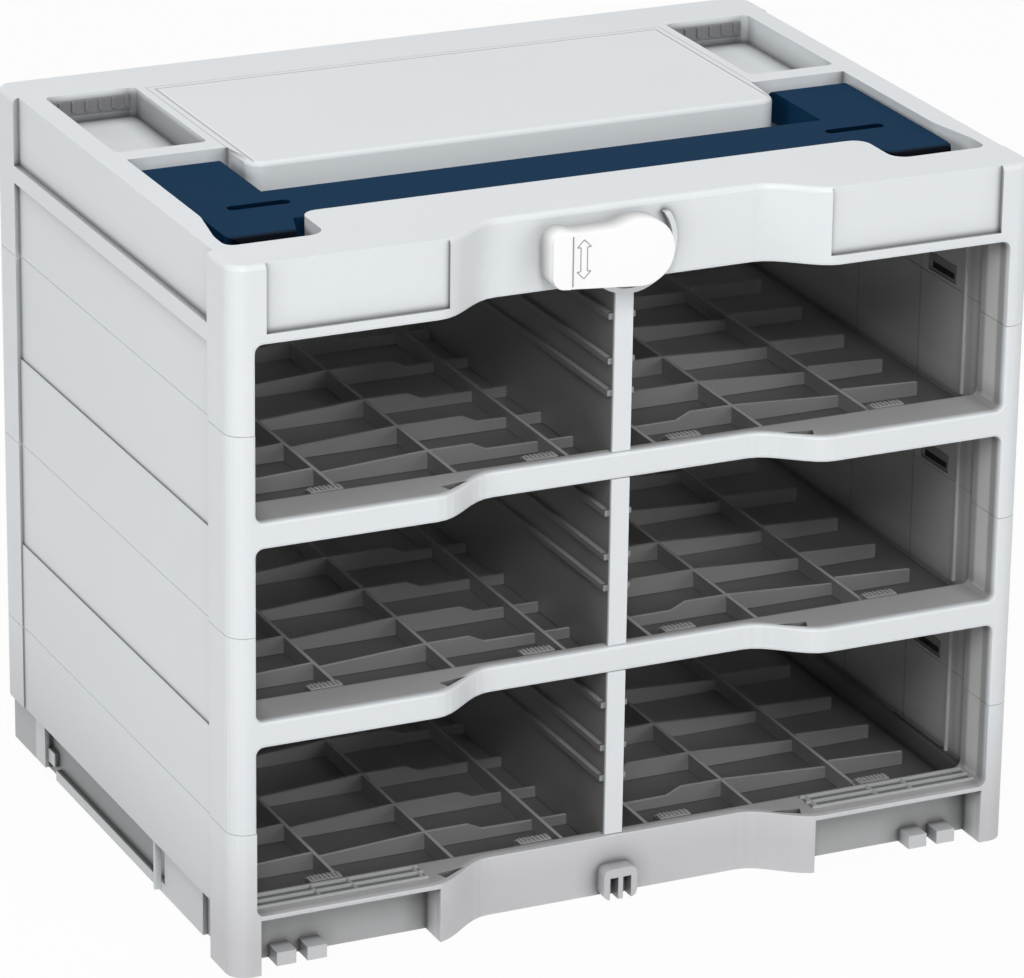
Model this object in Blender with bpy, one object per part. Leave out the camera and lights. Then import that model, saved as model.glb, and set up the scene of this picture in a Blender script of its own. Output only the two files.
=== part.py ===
"""Stackable rack for parts drawers: four stacked mouldings, six open bays,
three centre walls, six ribbed floor grids, a folding handle and a turning latch.
Metres, +Z up, front face towards -Y, origin under the middle of the footprint."""
import bpy
import bmesh
import math

for ob in list(bpy.data.objects):
    bpy.data.objects.remove(ob, do_unlink=True)

# overall box and row stack
WIDTH, DEPTH, HEIGHT = 0.396, 0.296, 0.337
CORNER_R = 0.009
ROWS = 3
TOP_H = 0.037             # ceiling of the top row below the rim
LIP_H = 0.0125            # shelf lip between two rows
BASE_LIP_TOP = 0.029      # top of the lowest lip above the floor
POST_W = 0.012            # front post beside the openings
BACK_WALL = 0.005
RING_D = 0.025            # depth of the front ring of posts and ledges
WALL_STEP = 0.005         # bay walls stand this much wider than the front ring
SKIN = 0.0015             # shelf sheet under the grid
GAP = 0.0003              # clearance between touching pieces
OPEN_R = 0.0035           # corner radius of the openings
EDGE_R = 0.0016           # rounding of the opening edges

# wave of the front: outer thirds forward, middle set back
WAVE_BACK = 0.0185
WAVE_OUT, WAVE_IN = 0.099, 0.064

# side faces
SIDE_POST = 0.027         # corner post length along the side
PANEL_STEP = 0.0008       # each panel stands this much prouder than the one above
PANEL_TOP_DROP = 0.0415   # top edge of the panel below the rim
POCKET_DROP = 0.033       # bottom of the upper side pocket below the rim
POCKET_D = 0.0028
SKIRT_Z = 0.0275          # lower edge of the side panels
SKIRT_IN = 0.008          # side skirt behind the panels
RAIL_IN = 0.0055          # foot rails behind the side faces
TOE_D = 0.017             # depth of the front recess under the lowest ledge
LEDGE_T = 0.0023          # thickness of that ledge

# top
RIM_R = 0.003
RIM_W = 0.015             # rim beside the handle well
WELL_FRONT = 0.029        # well front wall behind the front plane, beside the middle
WELL_FLARE, FLARE_L = 0.005, 0.028    # the well widens beside the grip, over this length
WELL_BACK_Y = 0.0125
WELL_SKIN = 0.0035
WELL_LIFT = 0.0035        # clearance under the folded handle
ARM_W = 0.039             # handle arm width
ARM_GAP = 0.003           # handle to well wall
BLOCK_GAP = 0.007         # raised middle to handle arm
BLOCK_Y = -0.015          # front face of the raised middle
BLOCK_R, BLOCK_EDGE = 0.008, 0.0025   # its front corners and upper edge
WELL_R, BEAM_R = 0.005, 0.008         # front corners of the well, rear corners of the beam
BEAM_D = 0.0425           # front beam, front to back
BEAM_OVER = 0.0065        # beam ends past the raised middle
POD_IN, POD_Y0, POD_D = 0.005, 0.024, 0.014       # rear pockets: past the raised middle, front edge, depth
POD_BACK, POD_RIM = 0.032, 0.014      # rear pockets: to the back face and to the side face
LABEL_X0, LABEL_RIM, LABEL_DROP, LABEL_D = 0.094, 0.017, 0.032, 0.0022

# handle
FINGER_GAP = 0.030        # between the raised middle and the grip
GRIP_GAP = 0.0015         # grip to front beam
GRIP_EAR = 0.007          # forward ears of the grip, short of the well front
HANDLE_T, HANDLE_DROP = 0.015, 0.003
PIV_BACK = 0.010          # pivot ahead of the well's rear wall
PIN_R, PIN_IN, PIN_OUT = 0.0035, 0.028, 0.0105    # radius, depth in the arm, depth in the rim
GROOVE_L, GROOVE_W = 0.030, 0.006
GRIP_R = 0.010            # roll-off of the grip ears to the front

# latch
LATCH_R, LATCH_LEN, LATCH_END_R = 0.0158, 0.0445, 0.006
LATCH_NECK, LATCH_END = 0.0126, 0.0145      # height of the neck and of the finger end over the axis
LATCH_LOW = 0.0124        # finger end below the axis
LATCH_PAD = 0.0085        # raised finger end
LATCH_GAP, LATCH_T = 0.005, 0.0133    # lever off the fascia, lever thickness
SPINDLE_R, SPINDLE_L = 0.006, 0.0235
COLLAR_R0, COLLAR_R1, COLLAR_H = 0.0208, 0.0232, 0.004
COLLAR_TOP = 0.0128       # collar cut off above the spindle axis

# centre walls and grids
WALL_T = 0.009
WALL_SETBACK = 0.001      # wall front edge behind the set-back lip
RIB_T, RIB_H = 0.0018, 0.0088
GUIDE_D, GUIDE_H = 0.0022, 0.003
GUIDES = (0.21, 0.47, 0.655)          # guide heights, share of the opening from its top
RIB_X = (0.089, 0.394, 0.704)         # lengthwise ribs, share of the grid width
RIB_END = 0.935                       # free ends of the cross ribs
CROSS_Y = (0.13, 0.26, 0.405, 0.57, 0.735, 0.895)
CATCH_L, CATCH_H, CATCH_T = 0.026, 0.0085, 0.0024
CATCH_Y, CATCH_AT = -0.0905, 0.372    # front end, top as a share of the opening from its top

HW, HD = WIDTH / 2, DEPTH / 2
FRONT = -HD
ROW_OPEN = (HEIGHT - TOP_H - BASE_LIP_TOP - (ROWS - 1) * LIP_H) / ROWS     # clear height of one bay
PITCH = ROW_OPEN + LIP_H
OPEN_X = HW - POST_W
INNER_X = OPEN_X + WALL_STEP
RING_Y = FRONT + RING_D
BACK_IN = HD - BACK_WALL
SIDE_Y = HD - SIDE_POST
LIP_TOP = [BASE_LIP_TOP + k * PITCH for k in range(ROWS)]
OPEN_TOP = [z + ROW_OPEN for z in LIP_TOP]
PART_Z = [z + ROW_OPEN / 2 for z in LIP_TOP]
CEIL = OPEN_TOP[-1]
FLOOR = [z - LIP_H + SKIN for z in LIP_TOP]
MID_FRONT = FRONT + WAVE_BACK
WELL_X = HW - RIM_W
ARM_OUT = WELL_X - ARM_GAP
ARM_IN = ARM_OUT - ARM_W
BLOCK_X = ARM_IN - BLOCK_GAP
BEAM_X, BEAM_Y = BLOCK_X + BEAM_OVER, MID_FRONT + BEAM_D
POD_X0, POD_X1, POD_Y1 = BLOCK_X + POD_IN, HW - POD_RIM, HD - POD_BACK
LABEL_X1 = HW - LABEL_RIM
GRIP_BACK, GRIP_FRONT = BLOCK_Y - FINGER_GAP, BEAM_Y + GRIP_GAP
GRIP_CORNER = FRONT + WELL_FRONT + GRIP_EAR
HANDLE_TOP = HEIGHT - HANDLE_DROP
PIV_Y, PIV_Z = WELL_BACK_Y - PIV_BACK, HANDLE_TOP - HANDLE_T / 2
PIN_A, PIN_B = ARM_OUT - PIN_IN, HW - POCKET_D - PIN_OUT + 0.005
LATCH_Z = (CEIL + HEIGHT) / 2
LATCH_BACK = MID_FRONT - LATCH_GAP
LATCH_FRONT = LATCH_BACK - LATCH_T
SPINDLE_END = MID_FRONT + SPINDLE_L


def wave(x):
    a = abs(x)
    if a >= WAVE_OUT:
        return FRONT
    if a <= WAVE_IN:
        return MID_FRONT
    t = (WAVE_OUT - a) / (WAVE_OUT - WAVE_IN)
    return FRONT + WAVE_BACK * (0.5 - 0.5 * math.cos(math.pi * t))


def wave_xs(n=8):
    xs = [WAVE_IN + (WAVE_OUT - WAVE_IN) * i / n for i in range(n + 1)]
    return [-x for x in reversed(xs)] + xs


def outline(inset=0.0):
    """Outer plan outline with the wave in the front edge, counter-clockwise."""
    pts = [(x, wave(x) + inset) for x in wave_xs()]
    r = CORNER_R - inset
    for cx, cy, a0 in ((HW - CORNER_R, -HD + CORNER_R, -90), (HW - CORNER_R, HD - CORNER_R, 0),
                       (-HW + CORNER_R, HD - CORNER_R, 90), (-HW + CORNER_R, -HD + CORNER_R, 180)):
        for i in range(7):
            a = math.radians(a0 + 15 * i)
            pts.append((cx + r * math.cos(a), cy + r * math.sin(a)))
    return pts


def rounded(x0, x1, y0, y1, r=0.0, n=4):
    if r <= 0:
        return [(x0, y0), (x1, y0), (x1, y1), (x0, y1)]
    pts = []
    for cx, cy, a0 in ((x1 - r, y0 + r, -90), (x1 - r, y1 - r, 0), (x0 + r, y1 - r, 90), (x0 + r, y0 + r, 180)):
        for i in range(n + 1):
            a = math.radians(a0 + 90 * i / n)
            pts.append((cx + r * math.cos(a), cy + r * math.sin(a)))
    return pts


def fillet(pts, radii, n=5):
    """Plan outline with its corners rounded, one radius per corner."""
    out = []
    for i, (p, r) in enumerate(zip(pts, radii)):
        if r <= 0:
            out.append(p)
            continue
        a, b = pts[i - 1], pts[(i + 1) % len(pts)]
        la, lb = math.dist(a, p), math.dist(b, p)
        ua = ((a[0] - p[0]) / la, (a[1] - p[1]) / la)
        ub = ((b[0] - p[0]) / lb, (b[1] - p[1]) / lb)
        half = math.acos(max(-1.0, min(1.0, ua[0] * ub[0] + ua[1] * ub[1]))) / 2
        back = min(r / math.tan(half), 0.48 * la, 0.48 * lb)
        for k in range(n + 1):
            t = k / n
            w0, w1, w2 = (1 - t) ** 2, 2 * t * (1 - t), t ** 2
            w = math.sin(half)
            q = w0 + w * w1 + w2
            out.append(tuple((w0 * (p[c] + ua[c] * back) + w * w1 * p[c] + w2 * (p[c] + ub[c] * back)) / q
                             for c in (0, 1)))
    return out


def circle(cx, cy, r, n=32):
    return [(cx + r * math.cos(2 * math.pi * i / n), cy + r * math.sin(2 * math.pi * i / n)) for i in range(n)]


def loft(rings, name="tmp"):
    """Closed solid through rings of equal point count."""
    bm = bmesh.new()
    loops = [[bm.verts.new(p) for p in ring] for ring in rings]
    bm.faces.new(loops[0])
    bm.faces.new(loops[-1])
    n = len(loops[0])
    for a, b in zip(loops, loops[1:]):
        for i in range(n):
            bm.faces.new((a[i], a[(i + 1) % n], b[(i + 1) % n], b[i]))
    bmesh.ops.recalc_face_normals(bm, faces=bm.faces)
    me = bpy.data.meshes.new(name)
    bm.to_mesh(me)
    bm.free()
    ob = bpy.data.objects.new(name, me)
    bpy.context.scene.collection.objects.link(ob)
    return ob


def prism(pts, a0, a1, axis="z"):
    """Extrude a plan outline along one axis."""
    def place(p, a):
        if axis == "z":
            return (p[0], p[1], a)
        if axis == "y":
            return (p[0], a, p[1])
        return (a, p[0], p[1])
    return loft([[place(p, a) for p in pts] for a in (a0, a1)])


def box(x0, x1, y0, y1, z0, z1):
    return prism(rounded(x0, x1, y0, y1), z0, z1)


def both(make):
    return [make(1), make(-1)]


def span(s, a, b):
    return (min(s * a, s * b), max(s * a, s * b))


def combine(base, operands, kind):
    """Apply one exact Boolean with a list of operands and drop the operands."""
    if not operands:
        return base
    coll = bpy.data.collections.new("operands")
    bpy.context.scene.collection.children.link(coll)
    for ob in operands:
        coll.objects.link(ob)
        ob.hide_render = True
        ob.display_type = "WIRE"
    mod = base.modifiers.new("cut", "BOOLEAN")
    mod.operation = kind
    mod.operand_type = "COLLECTION"
    mod.collection = coll
    mod.solver = "EXACT"
    mod.use_self = False
    bpy.context.view_layer.update()
    dg = bpy.context.evaluated_depsgraph_get()
    me = bpy.data.meshes.new_from_object(base.evaluated_get(dg))
    base.modifiers.clear()
    base.data = me
    for ob in operands:
        bpy.data.objects.remove(ob, do_unlink=True)
    bpy.data.collections.remove(coll)
    return base


def build(base, adds=(), cuts=()):
    return combine(combine(base, list(adds), "UNION"), list(cuts), "DIFFERENCE")


def tidy(me, dist=0.00002):
    bm = bmesh.new()
    bm.from_mesh(me)
    bmesh.ops.remove_doubles(bm, verts=bm.verts, dist=dist)
    bmesh.ops.dissolve_limit(bm, angle_limit=math.radians(0.5), verts=bm.verts, edges=bm.edges)
    bmesh.ops.triangulate(bm, faces=[f for f in bm.faces if len(f.verts) > 4])
    bmesh.ops.recalc_face_normals(bm, faces=bm.faces)
    bm.to_mesh(me)
    bm.free()


def soften(ob, pick, size, steps=2):
    """Round the sharp edges for which pick(v1, v2) is true."""
    bm = bmesh.new()
    bm.from_mesh(ob.data)
    bmesh.ops.remove_doubles(bm, verts=bm.verts, dist=0.00002)
    bmesh.ops.dissolve_limit(bm, angle_limit=math.radians(0.5), verts=bm.verts, edges=bm.edges)
    edges = [e for e in bm.edges if e.is_manifold and e.calc_face_angle(0) > 0.7
             and pick(e.verts[0].co, e.verts[1].co)]
    if edges:
        bmesh.ops.bevel(bm, geom=edges, offset=size, segments=steps, profile=0.5, affect="EDGES",
                        clamp_overlap=True)
    bm.to_mesh(ob.data)
    bm.free()


def finish(ob, name, colour, rough, metal=0.0, origin=None):
    """Name the node, give it its own material and set its origin."""
    tidy(ob.data)
    ob.name = name
    ob.data.name = name
    mat = bpy.data.materials.new(name + "_mat")
    mat.use_nodes = True
    bsdf = mat.node_tree.nodes["Principled BSDF"]
    bsdf.inputs["Base Color"].default_value = (*colour, 1.0)
    bsdf.inputs["Roughness"].default_value = rough
    bsdf.inputs["Metallic"].default_value = metal
    ob.data.materials.clear()
    ob.data.materials.append(mat)
    if origin:
        for v in ob.data.vertices:
            v.co.x -= origin[0]
            v.co.y -= origin[1]
            v.co.z -= origin[2]
        ob.location = origin
    return ob


GREY = (0.76, 0.77, 0.79)
INNER = (0.62, 0.63, 0.64)
BLUE = (0.012, 0.040, 0.105)
WHITE = (0.90, 0.90, 0.90)


def opening(z0, z1, round_low, round_high):
    """Cutter for one part of a bay row, right through the front."""
    r = OPEN_R
    pts = []
    for x, z, a0, on in ((OPEN_X, z0, -90, round_low), (OPEN_X, z1, 0, round_high),
                         (-OPEN_X, z1, 90, round_high), (-OPEN_X, z0, 180, round_low)):
        if not on:
            pts.append((x, z))
            continue
        cx, cz = x - math.copysign(r, x), z + (r if z == z0 else -r)
        for i in range(5):
            a = math.radians(a0 + 22.5 * i)
            pts.append((cx + r * math.cos(a), cz + r * math.sin(a)))
    return prism(pts, FRONT - 0.02, RING_Y + 0.002, "y")


def bay(z0, z1):
    """Cutter for the bay space behind the front ring."""
    return box(-INNER_X, INNER_X, RING_Y, BACK_IN, z0, z1)


def ledge_pockets(z0, z1):
    """Cutters that hollow the deep parts of a ledge from below."""
    return both(lambda s: box(*span(s, WAVE_OUT + 0.006, OPEN_X - 0.004), FRONT + 0.004, RING_Y - 0.004,
                              z0, z1))


def curve_pockets(z):
    """Small three-sided pockets in the ledges, behind the curved parts of a lip."""
    pts = [(WAVE_OUT - 0.006, FRONT + 0.0115), (WAVE_OUT - 0.008, FRONT + 0.006), (WAVE_IN + 0.0145, FRONT + 0.0135)]
    return both(lambda s: prism([(s * x, y) for x, y in pts], z - 0.0045, z + 0.01))


def panels(z0, z1, depth):
    """Cutters that set the side panels back between the corner posts."""
    return both(lambda s: box(*span(s, HW - depth, HW + 0.02), -SIDE_Y, SIDE_Y, z0, z1))


def catch_pocket(k):
    z = OPEN_TOP[k] - CATCH_AT * ROW_OPEN
    return both(lambda s: box(*span(s, INNER_X - 0.01, INNER_X + CATCH_T + GAP),
                              CATCH_Y - GAP, CATCH_Y + CATCH_L + GAP, z - CATCH_H - GAP, z + GAP))


def on_front(v):
    return abs(v.y - wave(v.x)) < 0.00005


def lip_edges(z0, z1):
    """True for opening edges in the front surface, not for the parting ends."""
    def pick(a, b):
        if not (on_front(a) and on_front(b)):
            return False
        if abs(a.x) > OPEN_X + 0.0001 or abs(b.x) > OPEN_X + 0.0001:
            return False
        return not (abs(a.z - b.z) < 0.0001 and (abs(a.z - z0) < 0.0002 or abs(a.z - z1) < 0.0002))
    return pick


def frame(name, k):
    """Moulding that carries the floor of row k, from one parting line to the next."""
    z0, z1 = PART_Z[k - 1] + GAP / 2, PART_Z[k] - GAP / 2
    low, high = OPEN_TOP[k - 1], LIP_TOP[k]
    step = low + 0.0022
    body = prism(outline(), z0, z1)
    cuts = [opening(z0 - 0.01, low, False, True), opening(high, z1 + 0.01, True, False),
            bay(z0 - 0.01, low), bay(FLOOR[k], z1 + 0.01)]
    cuts += ledge_pockets(low - 0.003, high - 0.003) + curve_pockets(high)
    cuts += panels(z0 - 0.01, step, PANEL_STEP * k) + panels(step, z1 + 0.01, PANEL_STEP * (k + 1))
    build(body, cuts=cuts)
    soften(body, lip_edges(z0, z1), EDGE_R)
    build(body, cuts=catch_pocket(k - 1))
    return finish(body, name, GREY, 0.42)


# the two middle mouldings
frame("lower_frame", 1)
frame("upper_frame", 2)

# base moulding: floor of the lowest row, skirt, foot rails, pegs and coupling loop
z1 = PART_Z[0] - GAP / 2
under = LIP_TOP[0] - LIP_H
rail_x = HW - RAIL_IN
body = prism(outline(), 0.0, z1)
cuts = [opening(LIP_TOP[0], z1 + 0.01, True, False), bay(LIP_TOP[0] - 0.001, z1 + 0.01),
        box(-OPEN_X, OPEN_X, RING_Y, BACK_IN, FLOOR[0], LIP_TOP[0])]
cuts += panels(SKIRT_Z, z1 + 0.01, PANEL_STEP) + curve_pockets(LIP_TOP[0])
cuts += both(lambda s: box(*span(s, HW - SKIRT_IN, HW + 0.02), -SIDE_Y, HD + 0.02, -0.01, SKIRT_Z))
cuts += both(lambda s: box(*span(s, WAVE_OUT - 0.003, OPEN_X - 0.002), FRONT - 0.02, FRONT + TOE_D,
                           -0.01, LIP_TOP[0] - LEDGE_T))
hollow = [(-OPEN_X + 0.002, FRONT + TOE_D + 0.004), (-WAVE_OUT, FRONT + TOE_D + 0.004),
          (-WAVE_IN, MID_FRONT + 0.006), (WAVE_IN, MID_FRONT + 0.006), (WAVE_OUT, FRONT + TOE_D + 0.004),
          (OPEN_X - 0.002, FRONT + TOE_D + 0.004), (OPEN_X - 0.002, BACK_IN), (-OPEN_X + 0.002, BACK_IN)]
cuts.append(prism(hollow, -0.01, under))
build(body, cuts=cuts)
soften(body, lip_edges(0.0, z1), EDGE_R * 0.6)
feet = []
for s in (1, -1):
    for x in (OPEN_X - 0.0365, OPEN_X - 0.0215):
        feet.append(box(*span(s, x, x + 0.0095), FRONT + 0.0065, FRONT + TOE_D + 0.002, 0.0, 0.0066))
    inner = HW - SKIRT_IN - 0.001
    feet.append(box(*span(s, inner, rail_x), -SIDE_Y + 0.023, -SIDE_Y + 0.070, 0.0, SKIRT_Z + 0.001))
    feet.append(box(*span(s, inner, rail_x), -SIDE_Y + 0.069, SIDE_Y - 0.029, 0.0, 0.0052))
    feet.append(box(*span(s, inner, HW - 0.004), SIDE_Y - 0.018, HD - 0.003, 0.0025, SKIRT_Z + 0.001))
    feet.append(box(*span(s, inner, rail_x), SIDE_Y - 0.027, SIDE_Y - 0.017, 0.006, 0.013))
    feet.append(box(*span(s, inner, HW - 0.003), -SIDE_Y - 0.001, -SIDE_Y + 0.006, 0.0, 0.0085))
loop = prism(rounded(-0.0085, 0.0085, 0.0, 0.0155, 0.0035), MID_FRONT - 0.008, MID_FRONT + 0.003, "y")
slots = [box(*span(s, 0.0012, 0.0054), MID_FRONT - 0.02, MID_FRONT - 0.0012, -0.001, 0.011) for s in (1, -1)]
build(loop, cuts=slots)
build(body, adds=feet + [loop])
finish(body, "base_frame", GREY, 0.42)

# top cover: upper half of row one, fascia, handle well, rear pockets
z0 = PART_Z[-1] + GAP / 2
rim = HEIGHT
body = loft([[(x, y, z) for x, y in outline(d)] for z, d in
             ((z0, 0.0), (rim - RIM_R, 0.0), (rim - RIM_R * 0.5, RIM_R * 0.134),
              (rim - RIM_R * 0.134, RIM_R * 0.5), (rim, RIM_R))])
cuts = [opening(z0 - 0.01, CEIL, False, True), bay(z0 - 0.01, CEIL)]
cuts += panels(z0 - 0.01, rim - PANEL_TOP_DROP, PANEL_STEP * ROWS)
build(body, cuts=cuts)
soften(body, lip_edges(z0, rim), EDGE_R)
flare_y = FRONT + WELL_FRONT + FLARE_L / 2
well = [(-WELL_X - WELL_FLARE, FRONT + WELL_FRONT), (-BEAM_X, FRONT + WELL_FRONT), (-BEAM_X, BEAM_Y)]
well += [(-x, y) for x, y in reversed(well)]
side = [(WELL_X + WELL_FLARE, flare_y), (WELL_X, flare_y + FLARE_L), (WELL_X, WELL_BACK_Y), (BLOCK_X, WELL_BACK_Y),
        (BLOCK_X, BLOCK_Y)]
well += side + [(-x, y) for x, y in reversed(side)]
well = fillet(well, (WELL_R, BEAM_R, BEAM_R, BEAM_R, BEAM_R, WELL_R, FLARE_L, FLARE_L, 0, 0, BLOCK_R,
                     BLOCK_R, 0, 0, FLARE_L, FLARE_L))
bed = HANDLE_TOP - HANDLE_T - WELL_LIFT
build(body, cuts=[prism(well, bed, rim + 0.01)])
soften(body, lambda a, b: min(a.z, b.z) > rim - 0.0001 and max(abs(a.x), abs(b.x)) < BLOCK_X + 0.0005
       and BLOCK_Y - 0.0005 < min(a.y, b.y) and max(a.y, b.y) < WELL_BACK_Y + 0.0005, BLOCK_EDGE, 3)
cuts = [box(-BLOCK_X + BLOCK_R, BLOCK_X - BLOCK_R, BEAM_Y, BLOCK_Y, CEIL + WELL_SKIN, bed + 0.002)]
cuts += both(lambda s: box(*span(s, BLOCK_X + 0.004, WELL_X - 0.004), FRONT + WELL_FRONT + 0.004,
                           WELL_BACK_Y - 0.003, CEIL - 0.01, bed - 0.003))
cuts += both(lambda s: prism(rounded(*span(s, POD_X0, POD_X1), POD_Y0, POD_Y1, 0.003), rim - POD_D, rim + 0.01))
cuts += both(lambda s: box(*span(s, LABEL_X0, LABEL_X1), FRONT - 0.02, FRONT + LABEL_D,
                           rim - LABEL_DROP, rim + 0.01))
cuts += both(lambda s: box(*span(s, HW - POCKET_D, HW + 0.02), -SIDE_Y, SIDE_Y, rim - POCKET_DROP, rim + 0.01))
cuts += both(lambda s: prism(circle(PIV_Y, PIV_Z, PIN_R + GAP, 20),
                             *span(s, WELL_X - 0.01, PIN_B + GAP), "x"))
cuts.append(box(-BLOCK_X + 0.004, BLOCK_X - 0.004, BLOCK_Y + 0.005, BACK_IN - 0.004, CEIL - 0.01, rim - 0.005))
cuts += both(lambda s: box(*span(s, BLOCK_X - 0.01, POD_X1 - 0.004), WELL_BACK_Y + 0.005, BACK_IN - 0.004,
                           CEIL - 0.01, rim - POD_D - 0.0035))
cuts.append(box(-BEAM_X + 0.006, BEAM_X - 0.006, MID_FRONT + 0.006, BEAM_Y - 0.005, CEIL - 0.01, rim - 0.005))
build(body, cuts=cuts)
collar = prism(circle(0, LATCH_Z, COLLAR_R1, 40), MID_FRONT - COLLAR_H, MID_FRONT + 0.0005, "y")
build(collar, cuts=[prism(circle(0, LATCH_Z, COLLAR_R0, 40), MID_FRONT - 0.02, MID_FRONT + 0.01, "y"),
                    box(-0.05, 0.05, MID_FRONT - 0.02, MID_FRONT + 0.01, LATCH_Z + COLLAR_TOP, rim + 0.05),
                    box(-0.05, 0.0, MID_FRONT - 0.02, MID_FRONT + 0.01, LATCH_Z - 0.008, rim + 0.05)])
build(body, adds=[collar])
build(body, cuts=catch_pocket(2) + [prism(circle(0, LATCH_Z, SPINDLE_R + GAP, 32), MID_FRONT - 0.02,
                                          MID_FRONT + 0.02, "y")])
finish(body, "top_cover", GREY, 0.42)

# centre walls, one per row, with three guide ribs on each side
for k, name in enumerate(("centre_wall_low", "centre_wall_mid", "centre_wall_top")):
    zf, zt = FLOOR[k] + GAP, OPEN_TOP[k] - GAP
    front = MID_FRONT + WALL_SETBACK
    inner = RING_Y + GAP
    prof = [(inner, zf), (BACK_IN - GAP, zf), (BACK_IN - GAP, zt), (front, zt),
            (front, LIP_TOP[k] + GAP), (inner, LIP_TOP[k] + GAP)]
    body = prism(prof, -WALL_T / 2, WALL_T / 2, "x")
    guides = []
    for g in GUIDES:
        z = OPEN_TOP[k] - g * ROW_OPEN
        guides.append(box(-WALL_T / 2 - GUIDE_D, WALL_T / 2 + GUIDE_D, front + 0.002, BACK_IN - 0.004,
                          z - GUIDE_H / 2, z + GUIDE_H / 2))
    build(body, adds=guides)
    finish(body, name, GREY, 0.45)

# floor grids: lengthwise ribs from the front rail, crossed by stepped ribs
gx0, gx1 = WALL_T / 2 + GAP, OPEN_X - GAP
gy0, gy1 = RING_Y + GAP, BACK_IN - GAP
gw, gl = gx1 - gx0, gy1 - gy0


def grid(s, z):
    """One floor grid, standing on the shelf sheet at height z."""
    def piece(x0, x1, y0, y1, h):
        return box(*span(s, x0, x1), y0, y1, z, z + h)
    base = piece(gx0, gx1, gy0, gy0 + 0.0024, RIB_H)
    parts = [piece(gx0 + gw * t, gx0 + gw * t + RIB_T, gy0 + 0.001, gy1, RIB_H - 0.0003 * (i + 1))
             for i, t in enumerate(RIB_X)]
    parts.append(piece(gx0, gx1, gy1 - 0.0024, gy1, RIB_H * 0.95))
    for j, u in enumerate(CROSS_Y):
        y = gy0 + gl * u
        a, b, c = RIB_X
        drop = 0.06 if j % 2 else 0.0
        top = [(0.0, 0.55), (a + 0.01, 0.55), (a + 0.15 - drop, 0.58), (a + 0.19 - drop, 0.97),
               (b + 0.01, 0.97), (c, 0.62), (c + 0.012, 0.93), (RIB_END, 0.74)]
        pts = [(0.0, 0.0), (RIB_END, 0.0)] + list(reversed(top))
        parts.append(prism([(s * (gx0 + gw * t), z + RIB_H * h) for t, h in pts], y, y + RIB_T, "y"))
    for t in (0.128, 0.709):
        parts.append(piece(gx0 + gw * t, gx0 + gw * t + 0.016, gy0 + 0.0012, gy0 + 0.0085, RIB_H + 0.0006))
    return build(base, adds=parts)


for k, row in enumerate(("low", "mid", "top")):
    for s, side in ((-1, "left"), (1, "right")):
        finish(grid(s, FLOOR[k] + GAP), "floor_grid_%s_%s" % (row, side), INNER, 0.5)

# drawer catches: slotted tongues in the outer walls, near the top front of each bay
for k, row in enumerate(("low", "mid", "top")):
    z = OPEN_TOP[k] - CATCH_AT * ROW_OPEN
    for s, side in ((-1, "left"), (1, "right")):
        body = box(*span(s, INNER_X, INNER_X + CATCH_T), CATCH_Y, CATCH_Y + CATCH_L, z - CATCH_H, z)
        slot = box(*span(s, INNER_X - 0.01, INNER_X + CATCH_T * 0.6), CATCH_Y + 0.0015,
                   CATCH_Y + CATCH_L - 0.0015, z - CATCH_H + 0.001, z - CATCH_H + 0.0045)
        build(body, cuts=[slot])
        finish(body, "drawer_catch_%s_%s" % (row, side), INNER, 0.5)

# folding handle: two arms and a wide grip, turning on pins at the rear ends
hz0, hz1 = HANDLE_TOP - HANDLE_T, HANDLE_TOP
corner = 0.016
grip = []
for i in range(6):
    a = math.radians(180 + 18 * i)
    grip.append((-ARM_OUT + corner + corner * math.cos(a), GRIP_CORNER + corner + corner * math.sin(a)))
grip += [(-BEAM_X - 0.0105, GRIP_CORNER), (-BEAM_X - 0.002, GRIP_FRONT)]
grip += [(-x, y) for x, y in reversed(grip)]
grip += [(ARM_OUT, GRIP_BACK), (-ARM_OUT, GRIP_BACK)]
body = prism(grip, hz0, hz1)
roll = [(GRIP_CORNER - 0.001, hz0 - 0.001), (GRIP_BACK + 0.001, hz0 - 0.001), (GRIP_BACK + 0.001, hz1 + 0.001),
        (GRIP_CORNER + GRIP_R, hz1 + 0.001)]
roll += [(GRIP_CORNER + GRIP_R - GRIP_R * math.sin(math.radians(a)), hz1 - GRIP_R + GRIP_R * math.cos(math.radians(a)))
         for a in range(10, 91, 16)]
roll = roll[:4] + [(GRIP_CORNER + GRIP_R, hz1)] + roll[4:]
combine(body, [prism(roll, -HW, HW, "x")], "INTERSECT")
arms = []
end = [(PIV_Y + HANDLE_T / 2 * math.cos(math.radians(a)), PIV_Z + HANDLE_T / 2 * math.sin(math.radians(a)))
       for a in range(-90, 91, 18)]
for s in (1, -1):
    arms.append(prism([(GRIP_BACK - 0.006, hz0)] + end + [(GRIP_BACK - 0.006, hz1)],
                      *span(s, ARM_IN, ARM_OUT), "x"))
build(body, adds=arms)
groove_y = GRIP_BACK - 0.0145
grooves = both(lambda s: prism(rounded(*span(s, ARM_OUT - 0.0155 - GROOVE_L, ARM_OUT - 0.0155), groove_y - GROOVE_W,
                                       groove_y, GROOVE_W * 0.45), hz1 - 0.002, hz1 + 0.01))
bores = both(lambda s: prism(circle(PIV_Y, PIV_Z, PIN_R + GAP, 20),
                             *span(s, PIN_A - GAP, ARM_OUT + 0.01), "x"))
build(body, cuts=grooves + bores)
finish(body, "carry_handle", BLUE, 0.38, origin=(0.0, PIV_Y, PIV_Z))

for s, side in ((-1, "left"), (1, "right")):
    body = prism(circle(PIV_Y, PIV_Z, PIN_R, 20), *span(s, PIN_A, PIN_B), "x")
    finish(body, "handle_pin_" + side, (0.55, 0.56, 0.58), 0.3, 1.0)

# latch lever and its spindle
r = LATCH_END_R
pad_x = LATCH_PAD - LATCH_LEN


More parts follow.
